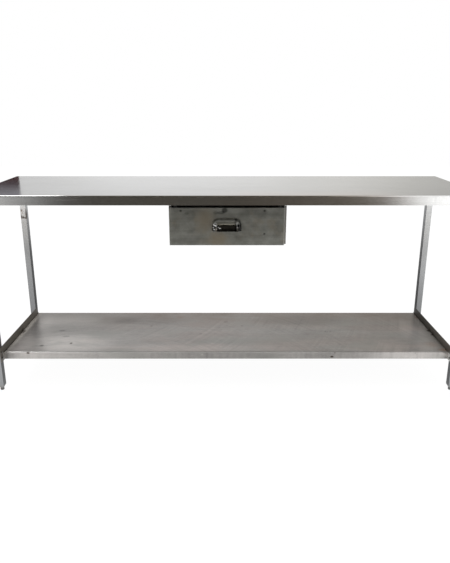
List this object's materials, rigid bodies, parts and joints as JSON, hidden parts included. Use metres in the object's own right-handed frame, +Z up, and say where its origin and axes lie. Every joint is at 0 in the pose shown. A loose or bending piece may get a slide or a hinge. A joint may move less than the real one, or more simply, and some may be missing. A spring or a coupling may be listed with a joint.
{
  "type": "laboratory table",
  "caption": "Stainless steel laboratory table with a folded worktop, a hanging drawer with a cup pull, a low undershelf and adjustable bullet feet.",
  "frame": {"origin": "on the floor, under the middle of the worktop", "axes": "+X to the right along the length, -Y towards the drawer front, +Z up"},
  "size_m": [2.132, 0.635, 0.9],
  "materials": {
    "worktop_steel": "worn satin",
    "frame_steel": "worn satin",
    "shelf_steel": "worn satin",
    "shelf_end_steel": "worn satin",
    "housing_steel": "worn satin",
    "hidden_steel": "worn satin",
    "drawer_steel": "worn satin",
    "foot_steel": "worn satin",
    "fastener_steel": "worn satin",
    "insert_cast": "dull cast",
    "handle_chrome": "worn bright plate"
  },
  "bodies": {
    "frame": {"worktop": "worktop_steel", "worktop_stiffeners": "hidden_steel", "top_rail_front": "frame_steel", "top_rail_back": "frame_steel", "top_rail_left": "frame_steel", "top_rail_right": "frame_steel", "leg_front_left": "frame_steel", "leg_front_right": "frame_steel", "leg_back_left": "frame_steel", "leg_back_right": "frame_steel", "leg_insert_front_left": "insert_cast", "leg_insert_front_right": "insert_cast", "leg_insert_back_left": "insert_cast", "leg_insert_back_right": "insert_cast", "shelf": "shelf_steel", "shelf_stiffener": "hidden_steel", "shelf_end_left": "shelf_end_steel", "shelf_end_right": "shelf_end_steel", "shelf_bolts": "fastener_steel", "housing_cheek_left": "housing_steel", "housing_cheek_right": "housing_steel", "housing_back": "housing_steel", "housing_screws": "fastener_steel", "runner_left": "housing_steel", "runner_right": "housing_steel", "runner_stop_screws": "fastener_steel"},
    "drawer": {"drawer_box": "drawer_steel", "drawer_front": "drawer_steel", "drawer_rivets": "fastener_steel", "drawer_stop_lugs": "fastener_steel", "drawer_handle": "handle_chrome", "handle_screws": "fastener_steel"},
    "foot_front_left": {"foot_front_left": "foot_steel"},
    "foot_front_right": {"foot_front_right": "foot_steel"},
    "foot_back_left": {"foot_back_left": "foot_steel"},
    "foot_back_right": {"foot_back_right": "foot_steel"}
  },
  "joints": [
    {"name": "drawer_slide", "type": "slide", "parent": "frame", "child": "drawer", "axis": [0, -1, 0], "range_m": [0, 0.4]},
    {"name": "foot_front_left_screw", "type": "slide", "parent": "frame", "child": "foot_front_left", "axis": [0, 0, -1], "range_m": [0, 0.02]},
    {"name": "foot_front_right_screw", "type": "slide", "parent": "frame", "child": "foot_front_right", "axis": [0, 0, -1], "range_m": [0, 0.02]},
    {"name": "foot_back_left_screw", "type": "slide", "parent": "frame", "child": "foot_back_left", "axis": [0, 0, -1], "range_m": [0, 0.02]},
    {"name": "foot_back_right_screw", "type": "slide", "parent": "frame", "child": "foot_back_right", "axis": [0, 0, -1], "range_m": [0, 0.02]}
  ]
}
